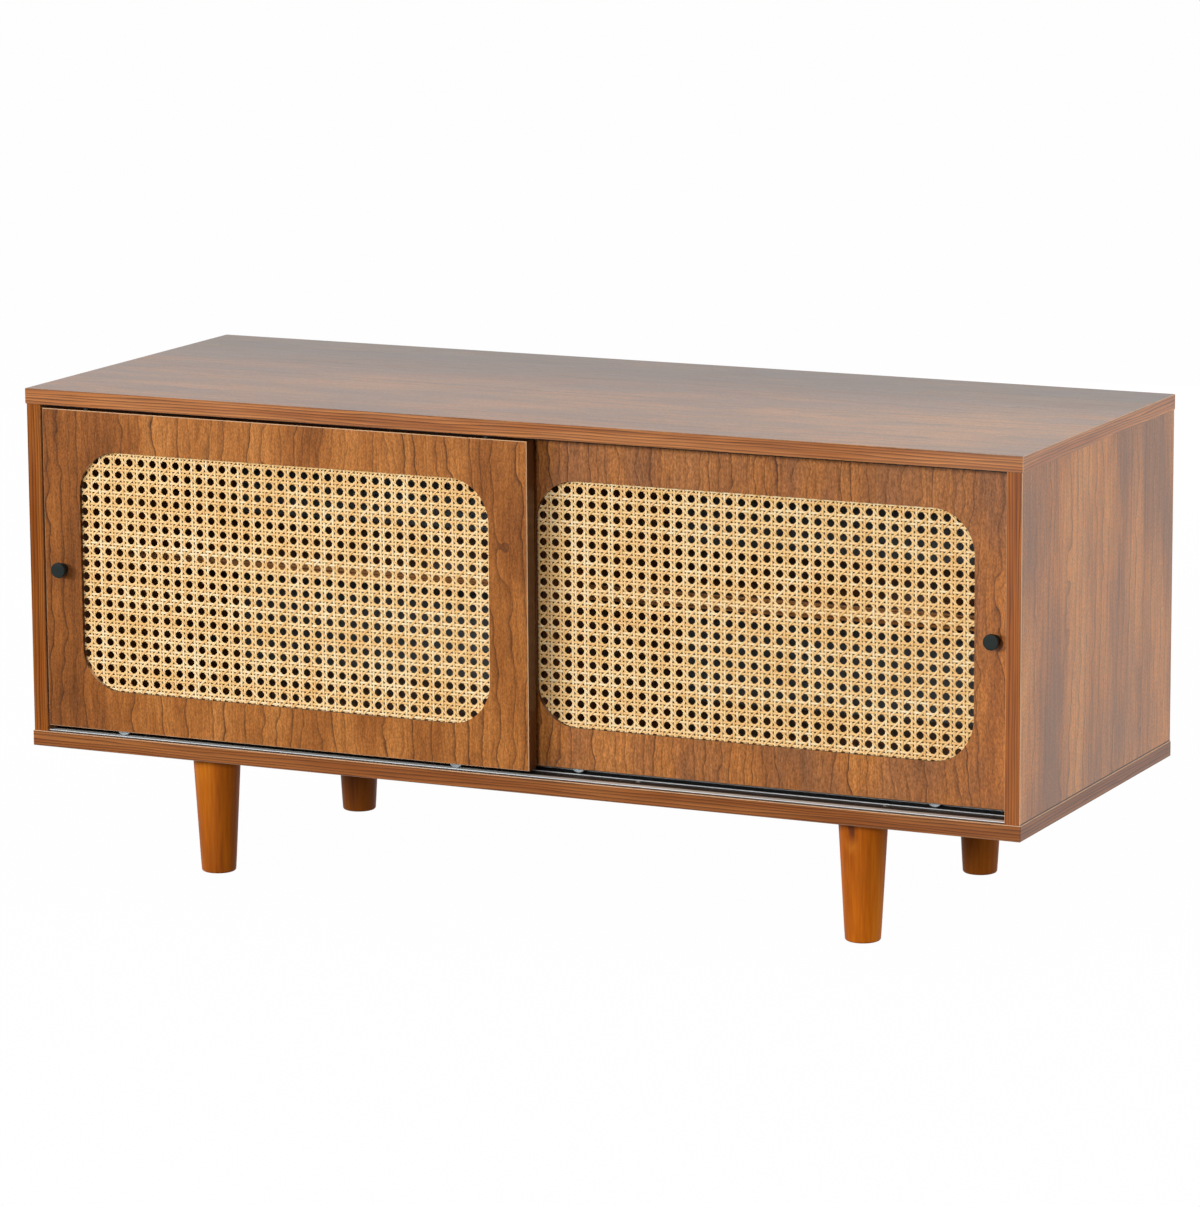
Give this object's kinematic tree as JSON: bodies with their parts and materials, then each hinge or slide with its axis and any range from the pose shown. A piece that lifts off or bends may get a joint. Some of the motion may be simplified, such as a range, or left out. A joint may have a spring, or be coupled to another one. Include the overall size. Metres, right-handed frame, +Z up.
{
  "type": "media cabinet",
  "caption": "Low media cabinet on tapered legs, with sliding cane-panelled doors on roller tracks, a divider, part-depth shelves and a grooved back with cable holes.",
  "frame": {"origin": "on the floor, under the middle of the box that bounds the cabinet and its knobs", "axes": "+X along the cabinet, to the right seen from the doors; +Y from the doors to the back; +Z up"},
  "size_m": [1.03, 0.409, 0.472],
  "materials": {
    "walnut_board": "satin wood-grain laminate",
    "leg_wood": "satin stained hardwood",
    "dowel_wood": "bare beech",
    "cane": "natural split rattan",
    "retainer_wood": "matt stained fibreboard",
    "hardboard": "matt printed hardboard",
    "strip_plastic": "matt extruded plastic",
    "knob_metal": "matt black powder coat",
    "track_aluminium": "mill finish",
    "black_plastic": "matt moulded plastic",
    "wheel_nylon": "satin moulded nylon",
    "cam_zinc": "die-cast zinc",
    "zinc_steel": "zinc-plated steel"
  },
  "bodies": {
    "carcass": {"back_joint_strip": "strip_plastic", "bottom_panel": "walnut_board", "bottom_track": "track_aluminium", "bottom_track_screws": "zinc_steel", "cam_bolts": "zinc_steel", "cam_locks": "cam_zinc", "centre_divider": "walnut_board", "dowels": "dowel_wood", "left_back_leg": "leg_wood", "left_back_panel": "hardboard", "left_front_leg": "leg_wood", "left_shelf": "walnut_board", "left_side_panel": "walnut_board", "leg_hanger_bolts": "zinc_steel", "leg_insert_nuts": "zinc_steel", "right_back_leg": "leg_wood", "right_back_panel": "hardboard", "right_front_leg": "leg_wood", "right_shelf": "walnut_board", "right_side_panel": "walnut_board", "shelf_pins": "zinc_steel", "top_panel": "walnut_board", "top_track": "black_plastic", "top_track_screws": "zinc_steel"},
    "front_door": {"front_door_frame": "walnut_board", "front_door_cane": "cane", "front_door_cane_retainer": "retainer_wood", "front_door_retainer_screws": "zinc_steel", "front_door_knob": "knob_metal", "front_door_knob_screw": "zinc_steel", "front_door_roller_housings": "black_plastic", "front_door_roller_axles": "zinc_steel", "front_door_guide_pins": "black_plastic"},
    "rear_door": {"rear_door_frame": "walnut_board", "rear_door_cane": "cane", "rear_door_cane_retainer": "retainer_wood", "rear_door_retainer_screws": "zinc_steel", "rear_door_knob": "knob_metal", "rear_door_knob_screw": "zinc_steel", "rear_door_roller_housings": "black_plastic", "rear_door_roller_axles": "zinc_steel", "rear_door_guide_pins": "black_plastic"},
    "front_door_left_wheel_body": {"front_door_left_wheel": "wheel_nylon"},
    "front_door_right_wheel_body": {"front_door_right_wheel": "wheel_nylon"},
    "rear_door_left_wheel_body": {"rear_door_left_wheel": "wheel_nylon"},
    "rear_door_right_wheel_body": {"rear_door_right_wheel": "wheel_nylon"}
  },
  "joints": [
    {"name": "front_door_slide", "type": "slide", "parent": "carcass", "child": "front_door", "axis": [1, 0, 0], "range_m": [0, 0.4754]},
    {"name": "front_door_left_wheel_roll", "type": "hinge", "parent": "front_door", "child": "front_door_left_wheel_body", "pos_m": [-0.4177, -0.1855, 0.1443], "axis": [0, 1, 0], "range_deg": [0, 3405]},
    {"name": "front_door_right_wheel_roll", "type": "hinge", "parent": "front_door", "child": "front_door_right_wheel_body", "pos_m": [-0.0577, -0.1855, 0.1443], "axis": [0, 1, 0], "range_deg": [0, 3405]},
    {"name": "rear_door_slide", "type": "slide", "parent": "carcass", "child": "rear_door", "axis": [-1, 0, 0], "range_m": [0, 0.4754]},
    {"name": "rear_door_left_wheel_roll", "type": "hinge", "parent": "rear_door", "child": "rear_door_left_wheel_body", "pos_m": [0.0577, -0.1585, 0.1443], "axis": [0, -1, 0], "range_deg": [0, 3405]},
    {"name": "rear_door_right_wheel_roll", "type": "hinge", "parent": "rear_door", "child": "rear_door_right_wheel_body", "pos_m": [0.4177, -0.1585, 0.1443], "axis": [0, -1, 0], "range_deg": [0, 3405]}
  ],
  "couplings": [
    {"joint": "front_door_left_wheel_roll", "follows": "front_door_slide", "rad_per_m": 125},
    {"joint": "front_door_right_wheel_roll", "follows": "front_door_slide", "rad_per_m": 125},
    {"joint": "rear_door_left_wheel_roll", "follows": "rear_door_slide", "rad_per_m": 125},
    {"joint": "rear_door_right_wheel_roll", "follows": "rear_door_slide", "rad_per_m": 125}
  ]
}
